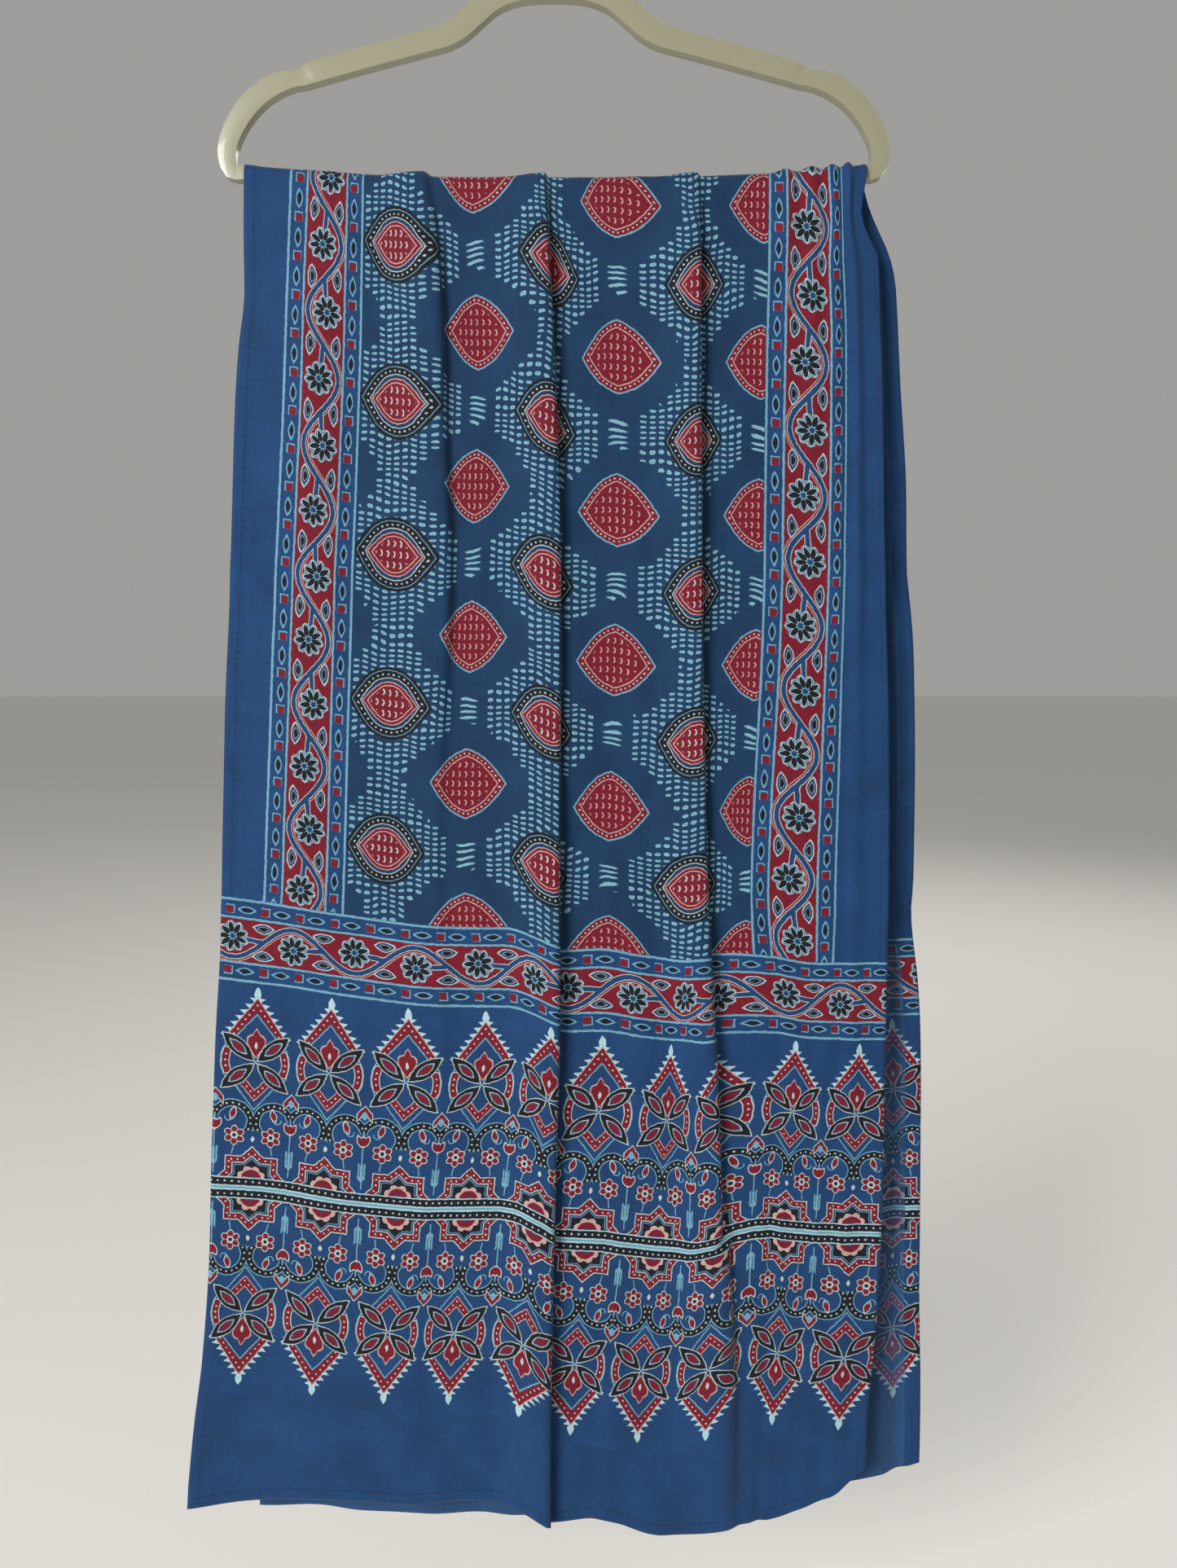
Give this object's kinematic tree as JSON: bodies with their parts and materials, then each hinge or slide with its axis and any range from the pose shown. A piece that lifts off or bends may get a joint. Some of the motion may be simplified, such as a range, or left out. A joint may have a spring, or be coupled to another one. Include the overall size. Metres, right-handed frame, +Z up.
{
  "type": "ajrakh cloth on a clothes hanger",
  "caption": "Block-printed cotton stole hung doubled over the bar of a moulded clothes hanger with a wire hook.",
  "frame": {"origin": "the hook's inner crown, where the rod that holds it touches it", "axes": "+Z up, along the hanging cloth; -Y to the front of the cloth; +X to the right as seen from the front"},
  "size_m": [0.5465, 0.0386, 1.1577],
  "materials": {
    "printed_cotton": "thin plain-woven cotton, matte, printed in indigo, madder red, black and pale blue",
    "ivory_plastic": "moulded ivory plastic, smooth and glossy",
    "plated_wire": "plated steel wire, bright"
  },
  "bodies": {
    "root": {"cloth": "printed_cotton", "hanger_frame": "ivory_plastic", "hook": "plated_wire"}
  },
  "joints": []
}
